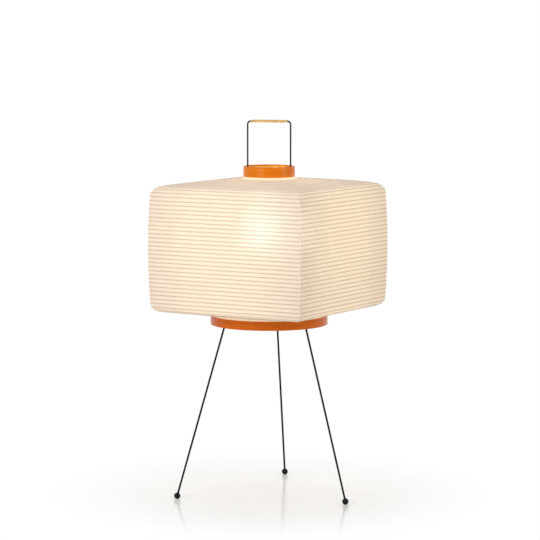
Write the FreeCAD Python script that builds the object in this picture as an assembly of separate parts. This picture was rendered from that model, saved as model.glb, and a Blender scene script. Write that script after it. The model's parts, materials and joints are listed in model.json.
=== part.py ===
import FreeCAD, Part
import math
import os

# Floor lamp: a square paper lantern with bamboo ribs between two bentwood collars, on three wire legs with
# ball feet, with a wire handle whose crosspiece is wound with cane.
# Row frame: origin on the floor below the lamp's axis, +Z up, the sides of the shade face +-X and +-Y.
# All lengths are in millimetres.

V = FreeCAD.Vector
UP = V(0, 0, 1)
ORIGIN = V(0, 0, 0)

# Overall sizes
total_height = 760.0
foot_circle_radius = 197.3
handle_angle_deg = 21.5
back_leg_angle_deg = handle_angle_deg + 90
leg_count = 3

# Legs and feet
leg_radius = 2.0
foot_ball_radius = 6.4
foot_flat_depth = 0.3
foot_fit = 0.02

# Bottom collar, its inner hoop and the paper between them
bottom_collar_radius = 118.8
bottom_collar_low = 347.0
bottom_collar_height = 18.2
bottom_collar_wall = 3.0
bottom_hoop_wall = 1.6
bottom_hoop_lift = 5.0
bottom_hoop_height = 11.5

# Top collar, its inner hoop and the paper between them
top_collar_radius = 52.2
collar_distance = 280.5
top_collar_height = 21.0
top_collar_wall = 3.0
top_hoop_wall = 1.3
top_hoop_lift = 2.0
top_hoop_height = 16.5
collar_edge_round = 0.8

# Paper shade
paper_wall = 0.4
glue_gap = 0.3
shade_half_width = 175.0
high_corner_drop = 17.1
low_corner_lift = 14.8
top_edge_radius = 21.5
bottom_edge_radius = 15.8
side_bulge = 3.0
top_crown = 1.4
top_shoulder_drop = 4.1
top_shoulder_out = 6.0
bottom_shoulder_lift = 5.4
bottom_shoulder_out = 5.0
collar_foot_gap = 0.5
corner_radius = 5.0
neck_flat = 0.3
squareness_power = 4
rib_interval_count = 52
paper_draw_in = 0.8
rib_radius = 0.6
rib_gap = 0.1

# Base frame
base_hoop_wire_radius = 2.5
base_hoop_inset = 13.66
weld_bite = 0.4
socket_radius = 4.0
socket_length = 44.0
socket_end_wall = 3.0
socket_recess = 0.6
running_clearance = 0.05
rest_gap = 0.3
lug_width = 12.0
lug_thickness = 2.5
lug_tab_height = 8.0
lug_tab_clearance = 0.7
lug_bite = 0.3
bar_width = 16.0
bar_thickness = 3.0
bar_overhang = 1.5

# Handle and grip
handle_wire_radius = 1.6
handle_spacing = 87.6
handle_bend_radius = 6.5
handle_end_below_nut = 0.8
cane_thickness = 1.4
cane_width = 2.6
cane_round = 0.35
cane_gap = 0.05
cane_turn_count = 24
cane_slit = 0.48

# Support ring and its clips
ring_inner_radius = 40.5
ring_edge_gap = 0.3
ring_thickness = 2.0
clip_radius = 3.9
clip_height = 4.0
clip_slot = 1.2

# Nuts
upright_nut_across = 7.0
upright_nut_height = 3.0
knurled_nut_radius = 5.5
knurled_nut_height = 6.0
knurl_depth = 0.5
knurl_count = 24
nut_face_gap = 0.1
stem_nut_across = 14.0
stem_nut_height = 3.6

# Stem and cord inlet
stem_radius = 5.0
stem_bore_radius = 4.0
stem_end_below_nut = 2.8
stem_length = 86.4
bushing_bore_radius = 3.2
bushing_flange_radius = 6.2
bushing_flange_height = 1.6
bushing_sleeve_length = 9.0

# Lampholder
stem_grip = 6.0
holder_radius = 18.5
holder_wall = 3.2
holder_height = 56.0
holder_cap_height = 12.0
holder_neck_radius = 8.0
holder_floor_lift = 24.0
holder_floor_thickness = 4.0
shell_wall = 0.5
shell_lift = 9.0
shell_recess = 1.0
contact_radius = 4.0
contact_thickness = 0.8
contact_post_radius = 1.5

# Bulb
bulb_radius = 30.0
bulb_drop = 50.0
bulb_glass_wall = 0.8
bulb_neck_radius = 12.6
cap_radius = 13.0
cap_wall = 0.5
cap_height = 23.5
thread_ridge = 0.35
thread_ridge_count = 4
shell_clearance = 0.3
insulator_radius = 9.0
insulator_height = 2.9
tip_radius = 4.5
tip_height = 1.6
tip_lift = 5.0


def bend_points(start, corner, end, radius):
    """Three points of the arc that rounds a corner: where it leaves the first line, its middle and where it
    meets the second line."""
    back = (start - corner).normalize()
    ahead = (end - corner).normalize()
    half = back.getAngle(ahead) / 2
    reach = radius / math.tan(half)
    inward = (back + ahead).normalize()
    middle = corner + inward * (radius / math.sin(half) - radius)
    return corner + back * reach, middle, corner + ahead * reach


def ring(outer, inner, low, high):
    """A plain round ring about the lamp's axis."""
    body = Part.makeCylinder(outer, high - low, V(0, 0, low))
    return body.cut(Part.makeCylinder(inner, high - low, V(0, 0, low)))


def turned(points):
    """A solid turned about the lamp's axis from a closed outline of (radius, height) points."""
    corners = [V(r, 0, z) for r, z in points]
    face = Part.Face(Part.makePolygon(corners + corners[:1]))
    return face.revolve(ORIGIN, UP, 360)


def hex_prism(across, low, height, centre):
    """A hexagonal prism with a given size across its flats."""
    corner = across / math.sqrt(3)
    points = [V(corner, 0, 0)]
    for step in range(1, 6):
        angle = math.radians(60 * step)
        points.append(V(corner * math.cos(angle), corner * math.sin(angle), 0))
    face = Part.Face(Part.makePolygon(points + points[:1]))
    body = face.extrude(V(0, 0, height))
    body.translate(V(centre.x, centre.y, low))
    return body


def spun(shape, angle_deg):
    """A copy of a shape turned about the lamp's axis."""
    copy = shape.copy()
    copy.rotate(ORIGIN, UP, angle_deg)
    return copy


def leg_point(z):
    """A point on the middle of the leg that points along +X."""
    return V(foot_circle_radius - math.tan(leg_tilt) * (z - foot_centre_z), 0, z)


# Places that follow from the sizes
bottom_collar_high = bottom_collar_low + bottom_collar_height
top_collar_low = bottom_collar_high + collar_distance
top_collar_high = top_collar_low + top_collar_height
shade_high = top_collar_low - high_corner_drop
shade_low = bottom_collar_high + low_corner_lift
bottom_paper_radius = bottom_collar_radius - bottom_collar_wall - glue_gap
bottom_hoop_radius = bottom_paper_radius - paper_wall - glue_gap
bottom_hoop_inner = bottom_hoop_radius - bottom_hoop_wall
bottom_hoop_low = bottom_collar_low + bottom_hoop_lift
top_paper_radius = top_collar_radius - top_collar_wall - glue_gap
top_hoop_radius = top_paper_radius - paper_wall - glue_gap
top_hoop_inner = top_hoop_radius - top_hoop_wall
top_hoop_low = top_collar_low + top_hoop_lift
upright_place = handle_spacing / 2
base_hoop_radius = bottom_hoop_inner - base_hoop_inset
lug_top = bottom_hoop_low - rest_gap
lug_bottom = lug_top - lug_thickness
base_hoop_z = lug_top + base_hoop_wire_radius - lug_bite
bar_low = base_hoop_z + base_hoop_wire_radius - weld_bite
bar_high = bar_low + bar_thickness
handle_centre_z = total_height - handle_wire_radius - cane_gap - cane_thickness
knurled_nut_high = bar_low - nut_face_gap
knurled_nut_low = knurled_nut_high - knurled_nut_height
handle_low = knurled_nut_low - handle_end_below_nut
stem_low = bar_low - stem_nut_height - stem_end_below_nut
stem_high = stem_low + stem_length
holder_low = stem_high - stem_grip
holder_high = holder_low + holder_height
holder_floor_z = holder_low + holder_floor_lift
tip_low = holder_floor_z + tip_lift
insulator_low = tip_low + tip_height
cap_low = insulator_low + insulator_height
bulb_neck_z = cap_low + cap_height
bulb_centre_z = bulb_neck_z + bulb_drop

# A leg leans so that its socket is welded to the inside of the base hoop
foot_centre_z = foot_ball_radius - foot_flat_depth
leg_rise = base_hoop_z - foot_centre_z
leg_run = foot_circle_radius - base_hoop_radius
weld_reach = socket_radius + base_hoop_wire_radius - weld_bite
leg_tilt = math.atan2(leg_run, leg_rise) + math.asin(weld_reach / math.hypot(leg_run, leg_rise))
leg_direction = V(-math.sin(leg_tilt), 0, math.cos(leg_tilt))
socket_low = bottom_collar_low + socket_recess
socket_high = socket_low + socket_length * math.cos(leg_tilt)

leg_angles = [back_leg_angle_deg + 360 * index / leg_count for index in range(leg_count)]
parts = {}


# Legs, each with its ball foot
leg_end_z = socket_high - (socket_end_wall + rest_gap) * math.cos(leg_tilt)
leg_foot = leg_point(foot_centre_z)
leg_length = (leg_end_z - foot_centre_z) / math.cos(leg_tilt)
leg_rod = Part.makeCylinder(leg_radius, leg_length, leg_foot, leg_direction)
ball = Part.makeSphere(foot_ball_radius, leg_foot)
ball_box = 2 * foot_ball_radius
ball_space = Part.makeBox(ball_box, ball_box, ball_box, leg_foot - V(ball_box / 2, ball_box / 2, foot_centre_z))
ball = ball.common(ball_space)
ball_hole = Part.makeCylinder(leg_radius + foot_fit, foot_ball_radius + leg_radius, leg_foot, leg_direction)
ball = ball.cut(ball_hole)
for number, angle in enumerate(leg_angles, 1):
    parts["leg_rod_%d" % number] = spun(leg_rod, angle)
    parts["foot_ball_%d" % number] = spun(ball, angle)

# Base hoop with blind sockets for the legs
base_hoop = Part.makeTorus(base_hoop_radius, base_hoop_wire_radius, V(0, 0, base_hoop_z))
parts["base_hoop"] = base_hoop
socket_foot = leg_point(socket_low)
socket_bore = leg_radius + running_clearance
socket = Part.makeCylinder(socket_radius, socket_length, socket_foot, leg_direction)
socket_depth = socket_length - socket_end_wall
socket = socket.cut(Part.makeCylinder(socket_bore, socket_depth, socket_foot, leg_direction))
socket = socket.cut(base_hoop)
for number, angle in enumerate(leg_angles, 1):
    parts["leg_socket_%d" % number] = spun(socket, angle)

# Lugs on the base hoop, halfway between the legs: a flat foot under the inner hoop and a tab inside it
tab_out = bottom_hoop_inner - lug_tab_clearance
lug_outline = [
    V(base_hoop_radius, 0, lug_bottom),
    V(bottom_hoop_radius - rest_gap, 0, lug_bottom),
    V(bottom_hoop_radius - rest_gap, 0, lug_top),
    V(tab_out, 0, lug_top),
    V(tab_out, 0, lug_top + lug_tab_height),
    V(tab_out - lug_thickness, 0, lug_top + lug_tab_height),
    V(tab_out - lug_thickness, 0, lug_top),
    V(base_hoop_radius, 0, lug_top),
]
lug = Part.Face(Part.makePolygon(lug_outline + lug_outline[:1])).extrude(V(0, lug_width, 0))
lug.translate(V(0, -lug_width / 2, 0))
lug = lug.cut(base_hoop)
lug_turn = 180 / leg_count
parts["collar_lugs"] = Part.makeCompound([spun(lug, angle + lug_turn) for angle in leg_angles])

# Flat bar across the base hoop, holed for the stem and for the handle's two uprights
bar_half = base_hoop_radius + bar_overhang
cross_bar = Part.makeBox(2 * bar_half, bar_width, bar_thickness, V(-bar_half, -bar_width / 2, bar_low))
cross_bar = cross_bar.cut(base_hoop)
for place, radius in ((0, stem_radius), (upright_place, handle_wire_radius), (-upright_place, handle_wire_radius)):
    hole = Part.makeCylinder(radius + running_clearance, bar_thickness, V(place, 0, bar_low))
    cross_bar = cross_bar.cut(hole)
parts["cross_bar"] = spun(cross_bar, handle_angle_deg)

# Handle: one wire bent to an upside-down U, whose ends pass through the cross bar
left_foot = V(-upright_place, 0, handle_low)
left_corner = V(-upright_place, 0, handle_centre_z)
right_corner = V(upright_place, 0, handle_centre_z)
right_foot = V(upright_place, 0, handle_low)
left_bend = bend_points(left_foot, left_corner, right_corner, handle_bend_radius)
right_bend = bend_points(left_corner, right_corner, right_foot, handle_bend_radius)
handle_path = Part.Wire([
    Part.LineSegment(left_foot, left_bend[0]).toShape(),
    Part.Arc(*left_bend).toShape(),
    Part.LineSegment(left_bend[2], right_bend[0]).toShape(),
    Part.Arc(*right_bend).toShape(),
    Part.LineSegment(right_bend[2], right_foot).toShape(),
])
handle_end = Part.Wire(Part.makeCircle(handle_wire_radius, left_foot, UP))
handle_wire = handle_path.makePipeShell([handle_end], True, False)
parts["handle_wire"] = spun(handle_wire, handle_angle_deg)


# Cane wound round the handle's crosspiece: one flat strip on a helix, drawn as pairs of arcs
cane_path_radius = handle_wire_radius + cane_gap + cane_thickness / 2
cane_pitch = cane_width + cane_slit
cane_length = cane_pitch * cane_turn_count
pair_count = 2 * cane_turn_count


def helix_point(turns):
    """A point on the cane's middle line after a number of turns."""
    angle = 2 * math.pi * turns
    along = cane_pitch * turns - cane_length / 2
    y = cane_path_radius * math.cos(angle)
    return V(along, y, handle_centre_z + cane_path_radius * math.sin(angle))


def helix_heading(turns):
    """The direction of the cane's middle line there."""
    angle = 2 * math.pi * turns
    round_speed = 2 * math.pi * cane_path_radius
    return V(cane_pitch, -round_speed * math.sin(angle), round_speed * math.cos(angle)).normalize()


def arc_between(start, knee, end):
    """The arc that leaves start towards knee and reaches end from knee, which is as far from both."""
    middle = (start + end) * 0.5
    half_chord = (end - start).Length / 2
    half_turn = math.atan2((knee - middle).Length, half_chord)
    top = middle + (knee - middle).normalize() * (half_chord * math.tan(half_turn / 2))
    return Part.Arc(start, top, end).toShape()


cane_edges = []
for index in range(pair_count):
    begin, end = helix_point(index / 2), helix_point((index + 1) / 2)
    begin_way, end_way = helix_heading(index / 2), helix_heading((index + 1) / 2)
    chord = end - begin
    spread = 1 - begin_way.dot(end_way)
    along_both = chord.dot(begin_way + end_way)
    knee_reach = math.sqrt(along_both ** 2 + 2 * spread * chord.dot(chord)) - along_both
    knee_reach = knee_reach / (2 * spread)
    first_knee = begin + begin_way * knee_reach
    second_knee = end - end_way * knee_reach
    joint = (first_knee + second_knee) * 0.5
    cane_edges.append(arc_between(begin, first_knee, joint))
    cane_edges.append(arc_between(joint, second_knee, end))
cane_path = Part.Wire(cane_edges)

# The strip's section: a flat oval, its flat side on the wire
section_middle = helix_point(0)
section_out = V(0, 1, 0)
section_side = helix_heading(0).cross(section_out).normalize()
half_flat = cane_width / 2 - cane_round
half_deep = cane_thickness / 2
half_straight = half_deep - cane_round


def section_place(side, out):
    return section_middle + section_side * side + section_out * out


def section_arc(side, out, forwards):
    """The rounded corner of the section on one side, from its flat to its edge or back."""
    turn = cane_round * math.sqrt(0.5)
    places = [
        section_place(side * half_flat, out * half_deep),
        section_place(side * (half_flat + turn), out * (half_straight + turn)),
        section_place(side * cane_width / 2, out * half_straight),
    ]
    return Part.Arc(*(places if forwards else places[::-1])).toShape()


def section_line(start, end):
    return Part.LineSegment(section_place(*start), section_place(*end)).toShape()


half_width = cane_width / 2
cane_section = Part.Wire([
    section_line((-half_flat, half_deep), (half_flat, half_deep)),
    section_arc(1, 1, True),
    section_line((half_width, half_straight), (half_width, -half_straight)),
    section_arc(1, -1, False),
    section_line((half_flat, -half_deep), (-half_flat, -half_deep)),
    section_arc(-1, -1, True),
    section_line((-half_width, -half_straight), (-half_width, half_straight)),
    section_arc(-1, 1, False),
])
cane_shell = Part.BRepOffsetAPI.MakePipeShell(cane_path)
cane_shell.setBiNormalMode(V(1, 0, 0))
cane_shell.add(cane_section)
cane_shell.build()
cane_shell.makeSolid()
grip_cane = cane_shell.shape()
parts["grip_cane"] = spun(grip_cane, handle_angle_deg)
turn_points = [edge.valueAt(edge.LastParameter) for edge in cane_edges]
least_step = min((b - a).Length for a, b in zip(turn_points, turn_points[4:]))
print("cane: %d turns, least gap to itself %.2f mm" % (cane_turn_count, least_step - cane_width))
print("cane: volume share of section times length %.3f" % (
    grip_cane.Volume / (Part.Face(cane_section).Area * cane_path.Length)))


# Nuts: hexagonal ones above the cross bar, knurled ones below it, and a pair on the stem
def drilled(body, radius, centre, low, height):
    """A nut's body with its bore."""
    return body.cut(Part.makeCylinder(radius + running_clearance, height, V(centre.x, centre.y, low)))


def knurled_nut(centre):
    """A round nut whose rim has pointed teeth."""
    points = []
    for step in range(2 * knurl_count):
        angle = math.pi * step / knurl_count
        reach = knurled_nut_radius - knurl_depth * (step % 2)
        points.append(V(centre.x + reach * math.cos(angle), centre.y + reach * math.sin(angle), knurled_nut_low))
    body = Part.Face(Part.makePolygon(points + points[:1])).extrude(V(0, 0, knurled_nut_height))
    return drilled(body, handle_wire_radius, centre, knurled_nut_low, knurled_nut_height)


upright_nuts = []
for number, side in enumerate((-1, 1), 1):
    centre = V(side * upright_place, 0, 0)
    nut = hex_prism(upright_nut_across, bar_high, upright_nut_height, centre)
    nut = drilled(nut, handle_wire_radius, centre, bar_high, upright_nut_height)
    upright_nuts.append(spun(nut, handle_angle_deg))
    parts["knurled_nut_%d" % number] = spun(knurled_nut(centre), handle_angle_deg)
parts["upright_nuts"] = Part.makeCompound(upright_nuts)
stem_nuts = []
for low in (bar_high, bar_low - stem_nut_height):
    nut = hex_prism(stem_nut_across, low, stem_nut_height, ORIGIN)
    stem_nuts.append(drilled(nut, stem_radius, ORIGIN, low, stem_nut_height))
parts["stem_nuts"] = Part.makeCompound(stem_nuts)

# Stem, and the bushing that a cord would enter by
parts["stem_tube"] = ring(stem_radius, stem_bore_radius, stem_low, stem_high)
bushing_top = stem_low + bushing_sleeve_length
bushing_bottom = stem_low - bushing_flange_height
sleeve_radius = stem_bore_radius - running_clearance
parts["cord_bushing"] = turned([
    (bushing_bore_radius, bushing_bottom),
    (bushing_flange_radius, bushing_bottom),
    (bushing_flange_radius, stem_low),
    (sleeve_radius, stem_low),
    (sleeve_radius, bushing_top),
    (bushing_bore_radius, bushing_top),
])

# Lampholder
cap_top = holder_low + holder_cap_height
holder_inner = holder_radius - holder_wall
parts["holder_cap"] = turned([
    (stem_radius + running_clearance, holder_low),
    (holder_neck_radius, holder_low),
    (holder_radius, holder_low + holder_cap_height / 2),
    (holder_radius, cap_top),
    (holder_inner, cap_top),
    (holder_inner, holder_low + holder_cap_height / 2 + holder_wall / 2),
    (holder_neck_radius, holder_low + holder_wall),
    (stem_radius + running_clearance, holder_low + holder_wall),
])
shell_outer = cap_radius + thread_ridge + shell_clearance + shell_wall
floor_low = holder_floor_z - holder_floor_thickness
parts["holder_body"] = turned([
    (holder_radius, cap_top),
    (holder_radius, holder_high),
    (shell_outer, holder_high),
    (shell_outer, holder_floor_z),
    (contact_post_radius, holder_floor_z),
    (contact_post_radius, floor_low),
    (holder_inner, floor_low),
    (holder_inner, cap_top),
])
shell_low = holder_floor_z + shell_lift
shell_high = holder_high - shell_recess
parts["threaded_shell"] = ring(shell_outer, shell_outer - shell_wall, shell_low, shell_high)
contact_top = tip_low - rest_gap
parts["centre_contact"] = turned([
    (0, floor_low),
    (contact_post_radius, floor_low),
    (contact_post_radius, contact_top - contact_thickness),
    (contact_radius, contact_top - contact_thickness),
    (contact_radius, contact_top),
    (0, contact_top),
])


# Bulb: a pear-shaped glass on a screw cap, with an insulator and a contact tip below it
def pear(radius, neck):
    """A ball that runs out in a cone to a round neck, turned about the lamp's axis."""
    slant = math.hypot(neck, bulb_drop)
    meet = math.atan2(neck, bulb_drop) + math.acos(radius / slant)
    touch = V(radius * math.sin(meet), 0, bulb_centre_z - radius * math.cos(meet))
    halfway = (math.pi + meet) / 2
    middle = V(radius * math.sin(halfway), 0, bulb_centre_z - radius * math.cos(halfway))
    crown = V(0, 0, bulb_centre_z + radius)
    rim = V(neck, 0, bulb_neck_z)
    root = V(0, 0, bulb_neck_z)
    outline = Part.Wire([
        Part.Arc(crown, middle, touch).toShape(),
        Part.LineSegment(touch, rim).toShape(),
        Part.LineSegment(rim, root).toShape(),
        Part.LineSegment(root, crown).toShape(),
    ])
    return Part.Face(outline).revolve(ORIGIN, UP, 360)


glass = pear(bulb_radius, bulb_neck_radius)
parts["bulb_glass"] = glass.cut(pear(bulb_radius - bulb_glass_wall, bulb_neck_radius - bulb_glass_wall))
cap_outline = [(cap_radius - cap_wall, cap_low), (cap_radius, cap_low)]
ridge_step = (bulb_neck_z - cap_low) / (thread_ridge_count + 1)
for ridge in range(1, thread_ridge_count + 1):
    ridge_z = cap_low + ridge * ridge_step
    cap_outline.append((cap_radius, ridge_z - ridge_step / 3))
    cap_outline.append((cap_radius + thread_ridge, ridge_z))
    cap_outline.append((cap_radius, ridge_z + ridge_step / 3))
cap_outline.append((cap_radius, bulb_neck_z))
cap_outline.append((cap_radius - cap_wall, bulb_neck_z))
parts["bulb_cap"] = turned(cap_outline)
parts["bulb_insulator"] = turned([
    (tip_radius, insulator_low),
    (insulator_radius, insulator_low),
    (cap_radius, cap_low),
    (tip_radius, cap_low),
])
parts["bulb_tip"] = turned([
    (0, tip_low),
    (tip_radius / 2, tip_low),
    (tip_radius, insulator_low),
    (tip_radius, cap_low),
    (0, cap_low),
])


# Collars: a bent strip of wood with eased edges outside, a thin plain hoop inside
def collar(outer, wall, low, high):
    ease = collar_edge_round
    corners = [
        V(outer - wall, 0, low), V(outer - ease, 0, low), V(outer, 0, low + ease), V(outer, 0, high - ease),
        V(outer - ease, 0, high), V(outer - wall, 0, high),
    ]
    reach = ease * (1 - math.sqrt(0.5))
    outline = Part.Wire([
        Part.LineSegment(corners[0], corners[1]).toShape(),
        Part.Arc(corners[1], V(outer - reach, 0, low + reach), corners[2]).toShape(),
        Part.LineSegment(corners[2], corners[3]).toShape(),
        Part.Arc(corners[3], V(outer - reach, 0, high - reach), corners[4]).toShape(),
        Part.LineSegment(corners[4], corners[5]).toShape(),
        Part.LineSegment(corners[5], corners[0]).toShape(),
    ])
    return Part.Face(outline).revolve(ORIGIN, UP, 360)


parts["bottom_collar"] = collar(bottom_collar_radius, bottom_collar_wall, bottom_collar_low, bottom_collar_high)
bottom_hoop_high = bottom_hoop_low + bottom_hoop_height
parts["bottom_inner_hoop"] = ring(bottom_hoop_radius, bottom_hoop_inner, bottom_hoop_low, bottom_hoop_high)
parts["top_collar"] = collar(top_collar_radius, top_collar_wall, top_collar_low, top_collar_high)
top_hoop_high = top_hoop_low + top_hoop_height
parts["top_inner_hoop"] = ring(top_hoop_radius, top_hoop_inner, top_hoop_low, top_hoop_high)

# Support ring under the top inner hoop, which slides on the uprights, and the clips that hold it
ring_high = top_hoop_low - rest_gap
ring_low = ring_high - ring_thickness
support_ring = ring(top_hoop_radius - ring_edge_gap, ring_inner_radius, ring_low, ring_high)
clips = []
for side in (-1, 1):
    upright = V(side * upright_place, 0, ring_low)
    guide = Part.makeCylinder(handle_wire_radius + running_clearance, ring_thickness, upright)
    support_ring = support_ring.cut(guide)
    clip_low = ring_low - clip_height
    foot = V(side * upright_place, 0, clip_low)
    clip = Part.makeCylinder(clip_radius, clip_height, foot)
    clip = clip.cut(Part.makeCylinder(handle_wire_radius + running_clearance, clip_height, foot))
    slot_x = side * upright_place - (clip_radius if side > 0 else 0)
    clip = clip.cut(Part.makeBox(clip_radius, clip_slot, clip_height, V(slot_x, -clip_slot / 2, clip_low)))
    clips.append(spun(clip, handle_angle_deg))
parts["support_ring"] = spun(support_ring, handle_angle_deg)
parts["ring_clips"] = Part.makeCompound(clips)


# Paper shade. Its outline, in (distance from the axis, height), runs from the top collar over the rounded
# top edge, down the bulging side and round the lower edge to the bottom collar. Each face of the shade has
# this outline at its middle. Level sections are squares with rounded corners, nearly round at the collars.
top_foot = V(top_paper_radius, 0, top_collar_low - collar_foot_gap)
top_shoulder = V(top_paper_radius + top_shoulder_out, 0, top_collar_low - top_shoulder_drop)
high_corner = V(shade_half_width, 0, shade_high)
low_corner = V(shade_half_width, 0, shade_low)
bottom_shoulder = V(bottom_paper_radius + bottom_shoulder_out, 0, bottom_collar_high + bottom_shoulder_lift)
bottom_foot = V(bottom_paper_radius, 0, bottom_collar_high + collar_foot_gap)
high_bend = bend_points(top_shoulder, high_corner, low_corner, top_edge_radius)
low_bend = bend_points(high_corner, low_corner, bottom_shoulder, bottom_edge_radius)
crown_middle = (top_shoulder + high_bend[0]) * 0.5 + V(0, 0, top_crown)
side_middle = (high_bend[2] + low_bend[0]) * 0.5 + V(side_bulge, 0, 0)
outline = Part.Wire([
    Part.LineSegment(top_foot, top_shoulder).toShape(),
    Part.Arc(top_shoulder, crown_middle, high_bend[0]).toShape(),
    Part.Arc(*high_bend).toShape(),
    Part.Arc(high_bend[2], side_middle, low_bend[0]).toShape(),
    Part.Arc(*low_bend).toShape(),
    Part.LineSegment(low_bend[2], bottom_shoulder).toShape(),
    Part.LineSegment(bottom_shoulder, bottom_foot).toShape(),
])
stations = outline.discretize(Number=2 * rib_interval_count + 1)
print("ribs: %d, %.2f mm apart" % (rib_interval_count - 1, outline.Length / rib_interval_count))


def corner_size(reach, level):
    """The corner radius of a level section: small at the side, growing to a near circle at a collar."""
    upper = level > (shade_high + shade_low) / 2
    neck = top_paper_radius if upper else bottom_paper_radius
    nearness = min(1, max(0, (shade_half_width - reach) / (shade_half_width - neck)))
    largest = neck - neck_flat
    return corner_radius + (largest - corner_radius) * nearness ** squareness_power


def outward(index):
    """The outline's outward direction at a station."""
    before = stations[max(index - 1, 0)]
    after = stations[min(index + 1, len(stations) - 1)]
    way = (after - before).normalize()
    return V(-way.z, 0, way.x)


def face_curve(reach, corner, level):
    """Half a corner, the straight and half a corner of a level section, for the side that faces +X."""
    centre = reach - corner
    slant, shallow = corner * math.sqrt(0.5), corner * math.cos(math.pi / 8)
    steep = corner * math.sin(math.pi / 8)
    points = [
        V(centre + slant, -centre - slant, level), V(centre + shallow, -centre - steep, level),
        V(reach, -centre, level), V(reach, centre, level),
        V(centre + shallow, centre + steep, level), V(centre + slant, centre + slant, level),
    ]
    edges = [
        Part.Arc(points[0], points[1], points[2]).toShape(),
        Part.LineSegment(points[2], points[3]).toShape(),
        Part.Arc(points[3], points[4], points[5]).toShape(),
    ]
    return edges, points[0], points[5]


def panel_section(reach, corner, level, out):
    """The closed section of one paper panel, a wall thick, measured inwards from its outer face."""
    deep = paper_wall * out.x
    outer, outer_first, outer_last = face_curve(reach, corner, level)
    inner, inner_first, inner_last = face_curve(reach - deep, corner - deep, level - paper_wall * out.z)
    ends = [
        Part.LineSegment(outer_last, inner_last).toShape(),
        Part.LineSegment(inner_first, outer_first).toShape(),
    ]
    return Part.Wire(outer + [ends[0]] + inner[::-1] + [ends[1]])


SIDEWAYS = V(1, 0, 0)
top_neck_end = top_hoop_high - glue_gap
bottom_neck_end = bottom_hoop_low + glue_gap
sections = [panel_section(top_paper_radius, top_paper_radius - neck_flat, top_neck_end, SIDEWAYS)]
for index, station in enumerate(stations):
    out = SIDEWAYS if index in (0, len(stations) - 1) else outward(index)
    sunk = paper_draw_in if index % 2 else 0
    place = station - out * sunk
    sections.append(panel_section(place.x, corner_size(station.x, station.z), place.z, out))
sections.append(panel_section(bottom_paper_radius, bottom_paper_radius - neck_flat, bottom_neck_end, SIDEWAYS))
paper_panel = Part.makeLoft(sections, True, True)
for number in range(1, 5):
    parts["paper_panel_%d" % number] = spun(paper_panel, 90 * number)

# Bamboo ribs: hoops just inside the paper, one at each crest
rib_depth = paper_wall + rib_radius + rib_gap
ribs = []
for index in range(2, len(stations) - 1, 2):
    out = outward(index)
    place = stations[index] - out * rib_depth
    corner = corner_size(stations[index].x, stations[index].z) - rib_depth * max(out.x, 0)
    edges = face_curve(place.x, corner, place.z)[0]
    hoop = []
    for turn in range(4):
        for edge in edges:
            hoop.append(edge.copy().rotate(ORIGIN, UP, 90 * turn) if turn else edge)
    start = V(place.x, 0, place.z)
    ribs.append((hoop, start))
rib_solids = []
for hoop, start in ribs:
    path = Part.Wire(hoop)
    begin = hoop[0].valueAt(hoop[0].FirstParameter)
    heading = hoop[0].tangentAt(hoop[0].FirstParameter)
    bamboo = Part.Wire(Part.makeCircle(rib_radius, begin, heading))
    rib_solids.append(path.makePipeShell([bamboo], True, False))
parts["bamboo_ribs"] = Part.makeCompound(rib_solids)

os.makedirs("parts", exist_ok=True)
for name, shape in parts.items():
    if not shape.isValid():
        print("not valid:", name)
    shape.exportStep("parts/%s.step" % name)
print("nodes:", len(parts))
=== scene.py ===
import json
import math

import bpy
import numpy as np
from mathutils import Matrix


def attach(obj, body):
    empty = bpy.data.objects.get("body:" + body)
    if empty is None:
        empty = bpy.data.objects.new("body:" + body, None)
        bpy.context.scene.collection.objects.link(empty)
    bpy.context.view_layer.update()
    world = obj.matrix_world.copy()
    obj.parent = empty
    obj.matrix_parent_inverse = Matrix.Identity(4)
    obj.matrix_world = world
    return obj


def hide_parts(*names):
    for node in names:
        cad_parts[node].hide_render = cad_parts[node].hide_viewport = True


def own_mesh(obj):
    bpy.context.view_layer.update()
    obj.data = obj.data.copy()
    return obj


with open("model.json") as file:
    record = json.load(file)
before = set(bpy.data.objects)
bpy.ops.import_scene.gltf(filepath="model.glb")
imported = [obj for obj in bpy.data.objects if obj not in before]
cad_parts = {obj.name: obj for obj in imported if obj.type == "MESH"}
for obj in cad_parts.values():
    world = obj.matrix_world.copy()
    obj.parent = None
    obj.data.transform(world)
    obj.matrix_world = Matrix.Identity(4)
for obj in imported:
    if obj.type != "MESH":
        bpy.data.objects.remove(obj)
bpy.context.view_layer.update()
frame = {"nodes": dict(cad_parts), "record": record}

# A lit paper lantern lamp. Lengths are in metres, in the row frame: origin on the floor below the lamp's
# axis, +Z up, the sides of the shade facing +-X and +-Y.

MM = 0.001

# Places of the shade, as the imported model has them
TOP_PAPER_RADIUS = 48.9 * MM
BOTTOM_PAPER_RADIUS = 115.5 * MM
SHADE_HALF = 175.0 * MM
SHADE_HIGH = 628.6 * MM
SHADE_LOW = 380.0 * MM
TOP_BEND = 21.5 * MM
LOW_BEND = 15.8 * MM
SIDE_BULGE = 3.0 * MM
TOP_CROWN = 1.4 * MM
TOP_FOOT_Z = 645.2 * MM
TOP_SHOULDER = (54.9 * MM, 641.6 * MM)
BOTTOM_FOOT_Z = 365.7 * MM
BOTTOM_SHOULDER = (120.5 * MM, 370.6 * MM)
TOP_NECK_Z = 663.9 * MM
BOTTOM_NECK_Z = 352.3 * MM
SHADE_CORNER = 5.0 * MM
LEAST_CORNER = 0.5 * MM
NECK_FLAT = 0.3 * MM
SQUARENESS = 4

# The paper and how it hangs between its hoops
PAPER_WALL = 0.4 * MM
PAPER_DRAW_IN = 1.2 * MM
DRAW_IN_POWER = 0.8
UNEVEN_SHARE = 0.09
UNEVEN_WAVES = 5
UNEVEN_SEED = 40
CALM_EDGE_POWER = 8
RIB_PITCHES = 52

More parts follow.
